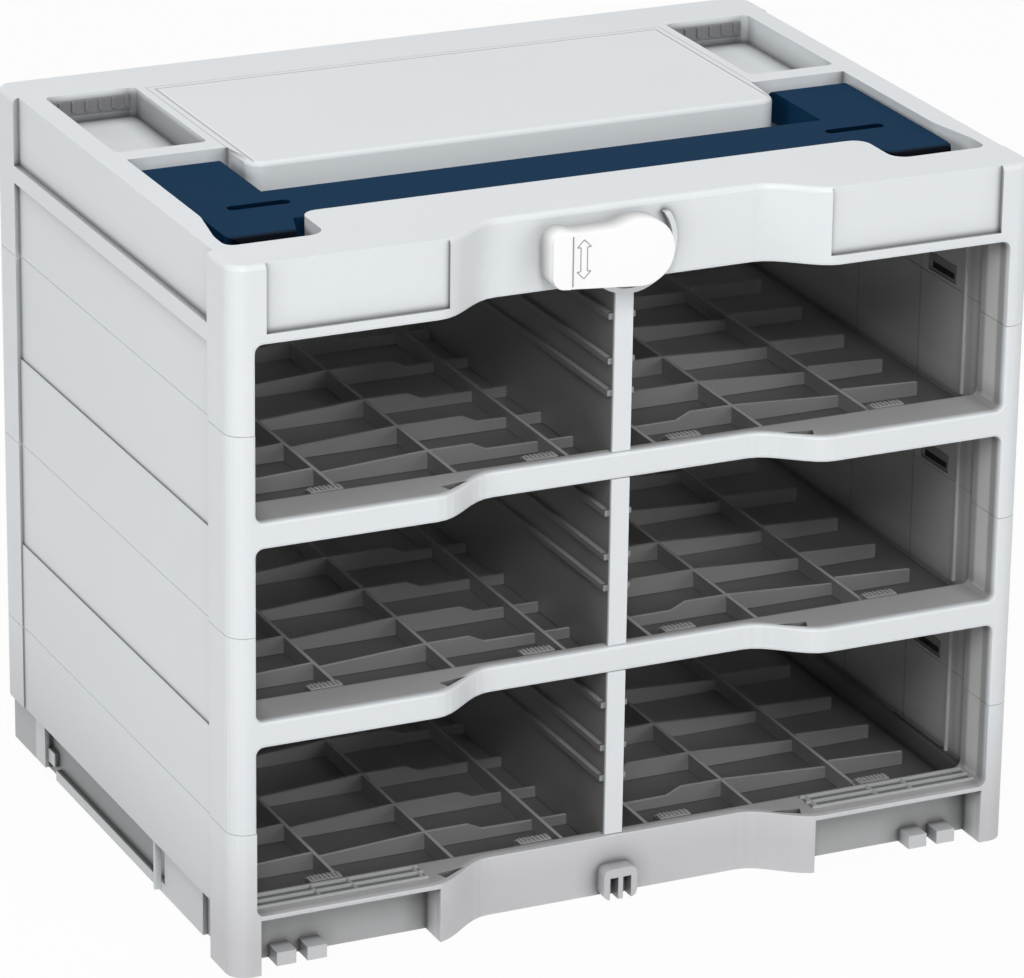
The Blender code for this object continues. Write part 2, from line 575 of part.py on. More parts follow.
def arc(cx, cz, radius, a0, a1, step):
    return [(cx + radius * math.cos(math.radians(a)), cz + radius * math.sin(math.radians(a)))
            for a in range(a0, a1 + 1, step)]


lever = arc(0.0, 0.0, LATCH_R, -98, 110, 8)
lever += [(-0.0092, LATCH_NECK + 0.0009), (-0.0125, LATCH_NECK + 0.0002), (-0.0165, LATCH_NECK)]
lever += [(pad_x + 0.005, LATCH_NECK + 0.0002), (pad_x + 0.0022, LATCH_NECK + 0.0006), (pad_x, LATCH_END - 0.0004)]
lever += arc(-LATCH_LEN + r, LATCH_END - r, r, 90, 180, 15) + arc(-LATCH_LEN + r, r - LATCH_LOW, r, 180, 270, 15)
lever = [(x, LATCH_Z + z) for x, z in lever]
body = prism(lever, LATCH_FRONT, LATCH_BACK, "y")
dish = prism(rounded(pad_x, LATCH_R + 0.01, LATCH_Z - LATCH_R - 0.01, LATCH_Z + LATCH_R + 0.01),
             LATCH_FRONT - 0.01, LATCH_FRONT + 0.0012, "y")
build(body, cuts=[dish, prism(circle(0, LATCH_Z, SPINDLE_R, 32), LATCH_BACK - 0.006, LATCH_BACK + 0.01, "y")])
soften(body, lambda a, b: a.y < LATCH_FRONT + 0.0014 and b.y < LATCH_FRONT + 0.0014
       and not (abs(a.x - pad_x) < 0.0001 and abs(b.x - pad_x) < 0.0001), 0.001)
finish(body, "latch_lever", WHITE, 0.5, origin=(0.0, LATCH_BACK, LATCH_Z))
body = prism(circle(0, LATCH_Z, SPINDLE_R - GAP, 32), LATCH_BACK - 0.006 + GAP, SPINDLE_END, "y")
finish(body, "latch_spindle", (0.60, 0.61, 0.62), 0.45, origin=(0.0, LATCH_BACK, LATCH_Z))
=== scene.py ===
import bpy
import bmesh
import numpy as np
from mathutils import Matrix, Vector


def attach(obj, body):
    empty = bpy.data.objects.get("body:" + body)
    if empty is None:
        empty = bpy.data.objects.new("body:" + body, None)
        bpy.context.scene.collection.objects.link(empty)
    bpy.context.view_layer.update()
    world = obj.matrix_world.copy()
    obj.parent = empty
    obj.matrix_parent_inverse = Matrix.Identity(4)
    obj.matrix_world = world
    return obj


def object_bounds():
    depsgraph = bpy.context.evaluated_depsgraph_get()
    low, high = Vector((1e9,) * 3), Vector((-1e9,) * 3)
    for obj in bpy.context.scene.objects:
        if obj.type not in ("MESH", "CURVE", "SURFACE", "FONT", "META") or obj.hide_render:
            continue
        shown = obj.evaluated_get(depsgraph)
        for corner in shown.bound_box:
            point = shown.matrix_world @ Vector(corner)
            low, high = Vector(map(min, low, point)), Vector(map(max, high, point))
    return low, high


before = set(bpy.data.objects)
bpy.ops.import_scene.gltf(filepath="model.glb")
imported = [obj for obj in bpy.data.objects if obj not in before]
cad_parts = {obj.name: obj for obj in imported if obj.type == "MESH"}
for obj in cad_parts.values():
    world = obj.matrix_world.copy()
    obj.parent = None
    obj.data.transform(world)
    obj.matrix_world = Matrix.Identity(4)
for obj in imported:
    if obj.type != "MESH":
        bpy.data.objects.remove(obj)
cad_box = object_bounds()
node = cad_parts

# The base and the two middle mouldings are injection moulded in light grey plastic with a fine
# spark-eroded skin. Painted shade darkens them towards the bottom, inside the bays, under the side
# panels and in the corners. They click together half way up each row, so a hairline runs round the
# rack there.
front = cad_box[0][1]
half_width, back, rim = cad_box[1]
post, ring_depth, wall_step, back_wall = 0.012, 0.025, 0.005, 0.005
opening_x = half_width - post
bay_x = opening_x + wall_step
ring_y = front + ring_depth
bay_back = back - back_wall
row_open, lip_height, lowest_lip = 0.082, 0.0125, 0.029
lip_top = lowest_lip + (row_open + lip_height) * np.arange(3)
ceiling = lip_top[-1] + row_open
wave_in, wave_out, wave_back = 0.064, 0.099, 0.0185
shell_tone, shell_rough = (0.735, 0.765, 0.785), 0.42


def moulded_plastic(name, colour, rough, grain=2600.0, bump=0.05, tint=0.012):
    """Moulded plastic: a fine pebbled skin, slow changes of gloss and a slight drift of tone."""
    mat = bpy.data.materials.new(name)
    mat.use_nodes = True
    tree = mat.node_tree
    bsdf = tree.nodes["Principled BSDF"]
    bsdf.inputs["IOR"].default_value = 1.53
    place = tree.nodes.new("ShaderNodeTexCoord")
    pebble = tree.nodes.new("ShaderNodeTexNoise")
    pebble.inputs["Scale"].default_value = grain
    pebble.inputs["Detail"].default_value = 3.0
    drift = tree.nodes.new("ShaderNodeTexNoise")
    drift.inputs["Scale"].default_value = 9.0
    drift.inputs["Detail"].default_value = 4.0
    tone = tree.nodes.new("ShaderNodeValToRGB")
    tone.color_ramp.elements[0].position = 0.3
    tone.color_ramp.elements[1].position = 0.7
    tone.color_ramp.elements[0].color = [c * (1 - tint) for c in colour] + [1]
    tone.color_ramp.elements[1].color = [min(1.0, c * (1 + tint)) for c in colour] + [1]
    gloss = tree.nodes.new("ShaderNodeMapRange")
    gloss.inputs["To Min"].default_value = rough - 0.05
    gloss.inputs["To Max"].default_value = rough + 0.06
    relief = tree.nodes.new("ShaderNodeBump")
    relief.inputs["Strength"].default_value = bump
    relief.inputs["Distance"].default_value = 0.0002
    for tex in (pebble, drift):
        tree.links.new(place.outputs["Object"], tex.inputs["Vector"])
    tree.links.new(drift.outputs["Fac"], tone.inputs["Fac"])
    tree.links.new(tone.outputs["Color"], bsdf.inputs["Base Color"])
    tree.links.new(pebble.outputs["Fac"], gloss.inputs["Value"])
    tree.links.new(gloss.outputs["Result"], bsdf.inputs["Roughness"])
    tree.links.new(pebble.outputs["Fac"], relief.inputs["Height"])
    tree.links.new(relief.outputs["Normal"], bsdf.inputs["Normal"])
    return mat


def feed(tree, value, slot):
    """Link a socket into a slot, or set a plain number or colour there."""
    if hasattr(value, "is_output"):
        tree.links.new(value, slot)
    else:
        slot.default_value = value


def sum_of(tree, operation, a, b=None):
    """One arithmetic step between two sockets or plain numbers."""
    step = tree.nodes.new("ShaderNodeMath")
    step.operation = operation
    feed(tree, a, step.inputs[0])
    if b is not None:
        feed(tree, b, step.inputs[1])
    return step.outputs[0]


def all_of(tree, *shares):
    """Product of several shares: 1 only where every one of them is 1."""
    product = shares[0]
    for share in shares[1:]:
        product = sum_of(tree, "MULTIPLY", product, share)
    return product


def rise(tree, value, low, high):
    """Runs from 0 at low to 1 at high, in a straight line."""
    ramp = tree.nodes.new("ShaderNodeMapRange")
    ramp.inputs["From Min"].default_value = low
    ramp.inputs["From Max"].default_value = high
    tree.links.new(value, ramp.inputs["Value"])
    return ramp.outputs[0]


def past(tree, value, place, soft=0.0003):
    """Share that is 1 past a place and 0 before it, over twice the length soft."""
    return rise(tree, value, place - soft, place + soft)


def short_of(tree, value, place, soft=0.0003):
    """Share that is 1 before a place and 0 past it, over twice the length soft."""
    return rise(tree, value, place + soft, place - soft)


def between(tree, value, low, high, soft=0.0003):
    """Share that is 1 between two places."""
    return all_of(tree, past(tree, value, low, soft), short_of(tree, value, high, soft))


def laid_over(mat, colour, share):
    """Lay a second tone, a colour or a socket, over the base colour where share is 1."""
    tree = mat.node_tree
    bsdf = tree.nodes["Principled BSDF"]
    blend = tree.nodes.new("ShaderNodeMix")
    blend.data_type = "RGBA"
    feed(tree, share, blend.inputs["Factor"])
    tree.links.new(bsdf.inputs["Base Color"].links[0].from_socket, blend.inputs["A"])
    feed(tree, colour if hasattr(colour, "is_output") else (*colour, 1), blend.inputs["B"])
    tree.links.new(blend.outputs["Result"], bsdf.inputs["Base Color"])


def object_axes(tree):
    """The three object coordinates and the distance from the middle plane."""
    place = tree.nodes.new("ShaderNodeTexCoord")
    axes = tree.nodes.new("ShaderNodeSeparateXYZ")
    tree.links.new(place.outputs["Object"], axes.inputs["Vector"])
    x, y, z = axes.outputs
    return x, y, z, sum_of(tree, "ABSOLUTE", x)


def depth_shade_greys(tree, y, stops):
    """Painted shade along the depth of a bay: a grey that changes from the front plane to the back wall.
    Each stop is a depth and the grey there."""
    ramp = tree.nodes.new("ShaderNodeValToRGB")
    while len(ramp.color_ramp.elements) < len(stops):
        ramp.color_ramp.elements.new(0.5)
    for spot, (at, grey) in zip(ramp.color_ramp.elements, stops):
        spot.position = (at - front) / (bay_back - front)
        spot.color = (grey, grey, grey, 1)
    tree.links.new(rise(tree, y, front, bay_back), ramp.inputs["Fac"])
    return ramp.outputs["Color"]


def bay_share(tree, y, z, side):
    """Share that is 1 inside the bays: behind the waved front face, whose set-back follows a smooth
    step of the distance from the middle, and up to the walls, the deck and the back."""
    wave = tree.nodes.new("ShaderNodeMapRange")
    wave.interpolation_type = "SMOOTHSTEP"
    wave.inputs["From Min"].default_value = wave_in
    wave.inputs["From Max"].default_value = wave_out
    wave.inputs["To Min"].default_value = front + wave_back
    wave.inputs["To Max"].default_value = front
    tree.links.new(side, wave.inputs["Value"])
    edge_start, edge_end = 0.0022, 0.0045
    behind = rise(tree, sum_of(tree, "SUBTRACT", y, wave.outputs[0]), edge_start, edge_end)
    under_lip = short_of(tree, z, lowest_lip - 0.0012, soft=0.0002)
    wall = sum_of(tree, "SUBTRACT", bay_x + 0.0015, sum_of(tree, "MULTIPLY", under_lip, wall_step))
    within = rise(tree, sum_of(tree, "SUBTRACT", wall, side), 0.0, 0.0006)
    return all_of(tree, within, behind, short_of(tree, y, bay_back + 0.001, soft=0.0005),
                  short_of(tree, z, ceiling + 0.0008, soft=0.0004))


def paint_bay_shade(mat):
    """Painted shade inside the bays: greys that fall off along the depth on the floors and on the walls,
    with lighter painted bands where faces near the front ring catch the light and dark seams of the
    wall plates among them, and plain painted shade on the toe wall and the pegs under the ledge."""
    tree = mat.node_tree
    _, y, z, side = object_axes(tree)
    inside = bay_share(tree, y, z, side)
    # Painted shade along the depth on floors and walls; the walls get lighter painted bands near the front
    # ring and dark lines at the seams of the wall plates.
    floors = depth_shade_greys(tree, y, ((front, 0.44), (-0.1235, 0.44), (-0.1225, 0.09), (-0.05, 0.13),
                                   (0.06, 0.55), (bay_back, 0.85)))
    walls = depth_shade_greys(tree, y, ((front, 0.34), (-0.1400, 0.36), (-0.1385, 0.62), (-0.1290, 0.64),
                                  (-0.1270, 0.36), (-0.1140, 0.36), (-0.1120, 0.48), (-0.1085, 0.48),
                                  (-0.1075, 0.40), (-0.0580, 0.52), (-0.0570, 0.32), (-0.0560, 0.52),
                                  (0.0030, 0.76), (0.0040, 0.52), (0.0050, 0.78), (bay_back, 0.92)))
    behind_ring = past(tree, y, ring_y - 0.0003)
    wall_start = sum_of(tree, "ADD", opening_x - 0.0008, sum_of(tree, "MULTIPLY", behind_ring, 0.0047))
    on_wall = rise(tree, sum_of(tree, "SUBTRACT", side, wall_start), 0.0, 0.0004)
    blend = tree.nodes.new("ShaderNodeMix")
    blend.data_type = "RGBA"
    tree.links.new(on_wall, blend.inputs["Factor"])
    tree.links.new(floors, blend.inputs["A"])
    tree.links.new(walls, blend.inputs["B"])
    laid_over(mat, blend.outputs["Result"], inside)
    # Painted shade on the toe wall and the pegs under the lowest ledge.
    toe_shade, peg_shade = (0.42, 0.425, 0.43), (0.60, 0.61, 0.62)
    ledge_under, toe_y, peg_top, peg_y = 0.0265, -0.1250, 0.0238, -0.1340
    toe_wall = all_of(tree, inside, short_of(tree, z, ledge_under, soft=0.0002),
                      short_of(tree, y, toe_y, soft=0.001))
    laid_over(mat, toe_shade, toe_wall)
    pegs = all_of(tree, inside, short_of(tree, z, peg_top, soft=0.0002),
                  short_of(tree, y, peg_y, soft=0.001))
    laid_over(mat, peg_shade, pegs)


def creased(mat, reach, dark):
    """Shade in the corners: the base colour falls to a share dark where the piece's own faces close in
    within the distance reach."""
    tree = mat.node_tree
    bsdf = tree.nodes["Principled BSDF"]
    corner = tree.nodes.new("ShaderNodeAmbientOcclusion")
    corner.samples = 6
    corner.only_local = True
    corner.inputs["Distance"].default_value = reach
    share = tree.nodes.new("ShaderNodeMapRange")
    share.inputs["From Min"].default_value = 0.25
    share.inputs["To Min"].default_value = dark
    tree.links.new(corner.outputs["AO"], share.inputs["Value"])
    blend = tree.nodes.new("ShaderNodeMix")
    blend.data_type = "RGBA"
    blend.blend_type = "MULTIPLY"
    blend.inputs["Factor"].default_value = 1.0
    tree.links.new(bsdf.inputs["Base Color"].links[0].from_socket, blend.inputs["A"])
    tree.links.new(share.outputs[0], blend.inputs["B"])
    tree.links.new(blend.outputs["Result"], bsdf.inputs["Base Color"])


def dressed(names, mat):
    """Put one finish on every slot of the named nodes."""
    for name in names:
        for slot in node[name].material_slots:
            slot.material = mat


shell_grey = moulded_plastic("shell_grey", shell_tone, shell_rough)
tree = shell_grey.node_tree
_, y, z, side = object_axes(tree)
# Painted shade: the shells darken towards the bottom, where less light falls, and more over the lowest few
# centimetres.
lower_shade, lower_from, lower_full = (0.698, 0.727, 0.746), 0.130, 0.060
foot_shade, foot_from, foot_full = (0.560, 0.556, 0.573), 0.065, 0.015
laid_over(shell_grey, lower_shade, rise(tree, z, lower_from, lower_full))
laid_over(shell_grey, foot_shade, rise(tree, z, foot_from, foot_full))
paint_bay_shade(shell_grey)
# Painted shade under the side panels: on the skirt, darker in its hand recess, and low down at the rear
# end.
skirt_shade, recess_shade, rear_shade = (0.60, 0.62, 0.63), (0.25, 0.255, 0.26), (0.42, 0.43, 0.44)
skirt_top, skirt_front, skirt_x, skirt_rear = 0.0272, -0.1200, 0.1870, 0.1155
skirt = all_of(tree, short_of(tree, z, skirt_top, soft=0.0004), past(tree, y, skirt_front, soft=0.0005))
skirt_side = all_of(tree, skirt, past(tree, side, skirt_x, soft=0.0002))
laid_over(shell_grey, skirt_shade, skirt_side)
recess_x, recess_front = 0.1919, -0.0446
recess = all_of(tree, skirt_side, short_of(tree, side, recess_x), past(tree, y, recess_front, soft=0.0006))
laid_over(shell_grey, recess_shade, recess)
laid_over(shell_grey, rear_shade, all_of(tree, skirt, past(tree, y, skirt_rear, soft=0.0005)))
# Painted shade in the channels between the low rails on the lowest ledge.
channel_shade = (0.16, 0.16, 0.16)
channel_low, channel_high = (0.0985, -0.14025, 0.0282), (0.1850, -0.1243, 0.0293)
channel = all_of(tree, between(tree, side, channel_low[0], channel_high[0]),
                 between(tree, y, channel_low[1], channel_high[1]),
                 between(tree, z, channel_low[2], channel_high[2], soft=0.0002))
laid_over(shell_grey, channel_shade, channel)
creased(shell_grey, reach=0.012, dark=0.30)
creased(shell_grey, reach=0.003, dark=0.30)
dressed(("base_frame", "lower_frame", "upper_frame"), shell_grey)

# Low rails stand on the ledge of the lowest row, with short ties between them. They are moulded
# with the base; their darker grey is painted shade, as on the bay floors.


def bars(name, start, end, half_w, half_h, up, mat, power=6.0, points=16):
    """Straight rounded bars. Round each bar runs a superellipse: half_w times a power of the cosine
    across the bar, half_h times a power of the sine along up. Along the bar it keeps that section,
    which narrows over a short length at both ends and closes there to a point."""
    a, b, up = (np.atleast_2d(np.asarray(v, float)) for v in (start, end, up))
    n = max(len(a), len(b))
    a, b, up = (np.broadcast_to(v, (n, 3)) for v in (a, b, up))
    w, h = (np.broadcast_to(np.asarray(v, float), (n,)) for v in (half_w, half_h))
    length = np.linalg.norm(b - a, axis=1)
    t = (b - a) / length[:, None]
    across = np.cross(up, t)
    phi = np.linspace(0, 2 * np.pi, points, endpoint=False)
    c = np.sign(np.cos(phi)) * np.abs(np.cos(phi)) ** (2 / power)
    s = np.sign(np.sin(phi)) * np.abs(np.sin(phi)) ** (2 / power)
    round_off = np.minimum(0.3 * np.minimum(w, h), 0.2 * length)
    along = np.stack([0 * length, 0 * length, round_off, length - round_off, length, length], 1)
    scale = np.array([0.0, 0.75, 1.0, 1.0, 0.75, 0.0])
    section = across[:, None] * (w[:, None] * c)[..., None] + up[:, None] * (h[:, None] * s)[..., None]
    spine = a[:, None] + t[:, None] * along[..., None]
    pts = spine[:, :, None] + section[:, None] * scale[None, :, None, None]
    rings = len(scale)
    k = np.arange(n)[:, None, None] * (rings * points)
    i = np.arange(rings - 1)[None, :, None] * points
    j = np.arange(points)[None, None, :]
    jn = (j + 1) % points
    faces = np.stack([k + i + j, k + i + jn, k + i + points + jn, k + i + points + j], -1).reshape(-1, 4)
    mesh = bpy.data.meshes.new(name)
    mesh.from_pydata(pts.reshape(-1, 3).tolist(), [], faces.tolist())
    bm = bmesh.new()
    bm.from_mesh(mesh)
    bmesh.ops.remove_doubles(bm, verts=bm.verts, dist=1e-7)
    bmesh.ops.recalc_face_normals(bm, faces=bm.faces)
    bm.to_mesh(mesh)
    bm.free()
    mesh.materials.append(mat)
    piece = bpy.data.objects.new(name, mesh)
    bpy.context.scene.collection.objects.link(piece)
    return piece


def every(*lists):
    """Every combination of the lists, as one array for each list."""
    return [v.ravel() for v in np.meshgrid(*lists, indexing="ij")]


def spots(x, y, z):
    """Points from three coordinates, with single numbers repeated."""
    return np.stack(np.broadcast_arrays(np.asarray(x, float), y, z), -1)


rail_shade_grey = moulded_plastic("rail_shade_grey", (0.44, 0.45, 0.455), rough=0.5)
both_sides = np.array([-1.0, 1.0])
rail_y, rail_z, rail_x0, rail_x1 = (-0.1392, -0.1330, -0.1268), 0.0293, 0.0985, 0.1845
tie_x, tie_z, tie_y0, tie_y1 = (0.1010, 0.1334, 0.1517), 0.0292, -0.1396, -0.1264
s, y = every(both_sides, rail_y)
rails = spots(s * rail_x0, y, rail_z), spots(s * rail_x1, y, rail_z)
s, x = every(both_sides, tie_x)
ties = spots(s * x, tie_y0, tie_z), spots(s * x, tie_y1, tie_z)
base_rails = bars("base_rails", np.concatenate([rails[0], ties[0]]), np.concatenate([rails[1], ties[1]]),
                  half_w=0.0007, half_h=0.0011, up=(0, 0, 1), mat=rail_shade_grey)
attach(base_rails, "rack")

# A thin upright closes the front end of the hand recess in each side skirt, under the lower edge of
# the side panel. It is moulded with the base, in the same light grey plastic.
upright_x, upright_y, upright_foot, upright_head = 0.1942, -0.0462, 0.0015, 0.0273
skirt_posts = bars("skirt_posts", spots(both_sides * upright_x, upright_y, upright_foot),
                   spots(both_sides * upright_x, upright_y, upright_head),
                   half_w=0.0018, half_h=0.0009, up=(0, 1, 0), mat=shell_grey)
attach(skirt_posts, "rack")

# A slim rib runs up each bay wall just behind the front ring, where a drawer's side first meets
# the wall. It is moulded with the walls.
# The ribs wear the rails' darker grey, which is painted shade.
rib_x, rib_y, rib_half = 0.1906, -0.1010, 0.0009
rib_down, rib_up = 0.0080, 0.0812
s, z = every(both_sides, lip_top)
wall_ribs = bars("wall_ribs", spots(s * rib_x, rib_y, z - rib_down), spots(s * rib_x, rib_y, z + rib_up),
                 half_w=rib_half, half_h=rib_half, up=(0, 1, 0), mat=rail_shade_grey)
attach(wall_ribs, "rack")

# The top cover closes the stack: fascia, handle well and rear pockets in one moulding. Its raised
# middle has a fine step along the sides and the back, a few millimetres in from the edge, drawn only
# as painted lines of shadow and highlight.
middle_x, middle_back, middle_front = 0.1308, 0.1095, -0.0110
pocket_x, pocket_y = (0.13675, 0.18425), (0.02025, 0.11775)


def soft_edges(piece, width, steps=2):
    """Break the sharp edges of a moulded node: weld its triangles, clear flat seams, round the rest."""
    weld = piece.modifiers.new("weld", "WELD")
    weld.merge_threshold = 0.00001
    flat = piece.modifiers.new("flat", "DECIMATE")
    flat.decimate_type = "DISSOLVE"
    flat.angle_limit = 0.01
    edge = piece.modifiers.new("edge", "BEVEL")
    edge.width = width
    edge.segments = steps
    edge.limit_method = "ANGLE"
    edge.angle_limit = 0.6
    edge.use_clamp_overlap = True
    level = piece.modifiers.new("level", "WEIGHTED_NORMAL")
    level.mode = "FACE_AREA"
    level.weight = 80


def upward(tree):
    """How far a face looks up: the height of its normal in object coordinates."""
    place = tree.nodes.new("ShaderNodeTexCoord")
    axes = tree.nodes.new("ShaderNodeSeparateXYZ")
    tree.links.new(place.outputs["Normal"], axes.inputs["Vector"])
    return axes.outputs["Z"]


cover_grey = moulded_plastic("cover_grey", shell_tone, shell_rough)
paint_bay_shade(cover_grey)
tree = cover_grey.node_tree
x, y, z, side = object_axes(tree)
from_step = sum_of(tree, "MAXIMUM", sum_of(tree, "SUBTRACT", side, middle_x),
                   sum_of(tree, "SUBTRACT", y, middle_back))
top_only = all_of(tree, past(tree, z, rim - 0.00115, soft=0.00035),
                  past(tree, y, middle_front, soft=0.0015))
# Painted shadow and highlight stand in for the step: a dark line on it, a light line 1 mm inside and a
# fainter dark line 3.6 mm outside.
for offset, width, grey in ((0.0, 0.0009, 0.40), (-0.0010, 0.0007, 0.82), (0.0036, 0.0006, 0.52)):
    off_line = sum_of(tree, "ABSOLUTE", sum_of(tree, "SUBTRACT", from_step, offset))
    line = rise(tree, off_line, width, width * 0.35)
    laid_over(cover_grey, (grey, grey * 1.02, grey * 1.03), all_of(tree, line, top_only))
# Painted shade on the walls of the rear pockets.
upright = rise(tree, upward(tree), 0.7, 0.3)
pocket = all_of(tree, upright, between(tree, side, *pocket_x), between(tree, y, *pocket_y),
                short_of(tree, z, rim - 0.0019, soft=0.0011))
shaded_walls = all_of(tree, pocket, short_of(tree, x, 0.1800, soft=0.0015))
pocket_wall_shade = (0.40, 0.41, 0.42)
laid_over(cover_grey, pocket_wall_shade, shaded_walls)
creased(cover_grey, reach=0.012, dark=0.20)
creased(cover_grey, reach=0.003, dark=0.25)
dressed(["top_cover"], cover_grey)
soft_edges(node["top_cover"], width=0.0007)

# Each rear pocket has a slot along its back wall with a row of small teeth in front of it, which
# hold the hook of a strap. The teeth are moulded with the cover; the slot is drawn as a dark bar of
# painted shade, and the teeth are painted in the same dark grey as shade.
slot_shade = moulded_plastic("slot_shade", (0.19, 0.19, 0.20), rough=0.6)
slot_x0, slot_x1, slot_y, slot_z = 0.1412, 0.1805, 0.1157, 0.3305
pocket_slots = bars("pocket_slots", spots(both_sides * slot_x0, slot_y, slot_z),
                    spots(both_sides * slot_x1, slot_y, slot_z),
                    half_w=0.0006, half_h=0.0036, up=(0, 0, 1), mat=slot_shade)
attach(pocket_slots, "rack")
tooth_x, tooth_y, tooth_foot, tooth_head = 0.1435 + 0.0067 * np.arange(6), 0.1148, 0.3285, 0.3338
s, x = every(both_sides, tooth_x)
pocket_teeth = bars("pocket_teeth", spots(s * x, tooth_y, tooth_foot), spots(s * x, tooth_y, tooth_head),
                    half_w=0.0008, half_h=0.0010, up=(0, 1, 0), mat=slot_shade)
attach(pocket_teeth, "rack")

# The walls between the two bays of a row slide in from the front and carry three guide ribs
# a side. Same plastic as the shells, with a clean front edge; behind it the sides carry painted shade
# that falls off along the depth, and the tops of the guide ribs are painted lighter where light falls on
# them.
wall_grey = moulded_plastic("wall_grey", shell_tone, shell_rough)
tree = wall_grey.node_tree
y = object_axes(tree)[1]
wall_edge, guide_start = -0.1270, -0.1245
# Painted shade on the wall sides, falling off along the depth.
wall_depth_shade = depth_shade_greys(tree, y, ((front, 0.16), (-0.10, 0.17), (0.0, 0.42), (bay_back, 0.92)))
laid_over(wall_grey, wall_depth_shade, past(tree, y, wall_edge, soft=0.0008))
# Painted light: the upward faces, the guide rib tops among them, are lighter than the sides.
guide_top_light = depth_shade_greys(tree, y, ((front, 0.46), (-0.10, 0.40), (0.0, 0.66), (bay_back, 0.92)))
guide_tops = all_of(tree, rise(tree, upward(tree), 0.4, 0.7), past(tree, y, guide_start, soft=0.0005))
laid_over(wall_grey, guide_top_light, guide_tops)
creased(wall_grey, reach=0.004, dark=0.40)
walls = ("centre_wall_low", "centre_wall_mid", "centre_wall_top")
dressed(walls, wall_grey)
for name in walls:
    soft_edges(node[name], width=0.0005)

# Ribbed floor grids lie behind the lips and slotted catch tongues clip into the outer bay walls.
# Both are inserts of the same plastic, left dull; their greys are painted shade that falls off along the
# depth, the rib tops are painted lighter where light falls on them, and the slots of the catches are
# painted black as shade.
inner_shade_grey = moulded_plastic("inner_shade_grey", (0.23, 0.23, 0.23), rough=0.55)
tree = inner_shade_grey.node_tree
_, y, z, side = object_axes(tree)
# Painted shade on the grid sides, falling off along the depth.
rib_side_shade = depth_shade_greys(tree, y, ((front, 0.28), (-0.118, 0.20), (-0.05, 0.24), (bay_back, 0.80)))
laid_over(inner_shade_grey, rib_side_shade, 1.0)
# Painted light on the upward faces: the rib tops are lighter.
rib_top_light = depth_shade_greys(tree, y, ((front, 0.46), (-0.118, 0.42), (-0.05, 0.42), (bay_back, 0.95)))
laid_over(inner_shade_grey, rib_top_light, rise(tree, upward(tree), 0.5, 0.8))
# Painted shade: the slot of each catch is painted black.
catch_slot = all_of(tree, past(tree, side, bay_x + 0.001, soft=0.0002), past(tree, z, 0.0305, soft=0.0005))
catch_slot_shade = (0.012, 0.012, 0.012)
laid_over(inner_shade_grey, catch_slot_shade, catch_slot)
grids = [name for name in node if name.startswith("floor_grid")]
catches = [name for name in node if name.startswith("drawer_catch")]
dressed(grids + catches, inner_shade_grey)
for name in catches:
    soft_edges(node[name], width=0.0003, steps=1)

# Two knurled clips on the front rail of each floor grid hold it to the ledge. They are moulded with
# the grid, each a small plate with cross bars.
clip_x, clip_length, clip_y, clip_drop = (0.0280, 0.1331), 0.016, -0.1184, 0.0008
knurl_x, knurl_y0, knurl_y1, knurl_drop = 0.0016 + 0.0021 * np.arange(7), -0.1210, -0.1160, 0.0001
s, x, z = every(both_sides, clip_x, lip_top)
plates = spots(s * x, clip_y, z - clip_drop), spots(s * (x + clip_length), clip_y, z - clip_drop)
s, x, z, k = every(both_sides, clip_x, lip_top, knurl_x)
knurls = spots(s * (x + k), knurl_y0, z - knurl_drop), spots(s * (x + k), knurl_y1, z - knurl_drop)
count = len(plates[0]), len(knurls[0])
clip_half_w = np.repeat([0.0030, 0.0005], count)
clip_half_h = np.repeat([0.0007, 0.0005], count)
grid_clips = bars("grid_clips", np.concatenate([plates[0], knurls[0]]),
                  np.concatenate([plates[1], knurls[1]]),
                  half_w=clip_half_w, half_h=clip_half_h, up=(0, 0, 1), mat=inner_shade_grey)
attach(grid_clips, "rack")

# The folding handle is moulded in dark blue plastic, two arms and a wide grip in one piece. It lies
# flush in its well and turns on two pins; its front ends are painted near black as the shade of the well.
handle_blue = moulded_plastic("handle_blue", (0.0055, 0.032, 0.075), rough=0.5, grain=3000.0)
tree = handle_blue.node_tree
tree.nodes["Principled BSDF"].inputs["Specular IOR Level"].default_value = 0.008
y = object_axes(tree)[1]
# Painted shade: the front ends turn near black, where they roll down into the shade of the well.
ear_front, ear_shade = -0.10075, (0.001, 0.002, 0.004)
laid_over(handle_blue, ear_shade, short_of(tree, y, ear_front, soft=0.00225))
creased(handle_blue, reach=0.010, dark=0.08)
dressed(["carry_handle"], handle_blue)
soft_edges(node["carry_handle"], width=0.0012, steps=3)

# Two steel pins hold the handle arms. They are pressed into the rim from the sides of the well and
# hardly show.
pin_steel = moulded_plastic("pin_steel", (0.56, 0.57, 0.58), rough=0.30, grain=900.0, bump=0.02)
pin_steel.node_tree.nodes["Principled BSDF"].inputs["Metallic"].default_value = 1.0
dressed(("handle_pin_left", "handle_pin_right"), pin_steel)

# The latch lever is moulded in white plastic with a finely grained skin; its part next to the fascia
# is painted greyer as shade. It turns on a grey spindle that passes through the fascia.
latch_white = moulded_plastic("latch_white", (0.95, 0.95, 0.95), rough=0.50, grain=1500.0, bump=0.12,
                              tint=0.01)
tree = latch_white.node_tree
y = object_axes(tree)[1]
# Painted shade: the lever greys towards its back, next to the fascia.
face_edge, lever_back, back_shade = -0.1445, -0.1355, (0.42, 0.42, 0.42)
laid_over(latch_white, back_shade, rise(tree, y, face_edge, lever_back))
dressed(["latch_lever"], latch_white)
soft_edges(node["latch_lever"], width=0.0012, steps=3)
dressed(["latch_spindle"], inner_shade_grey)

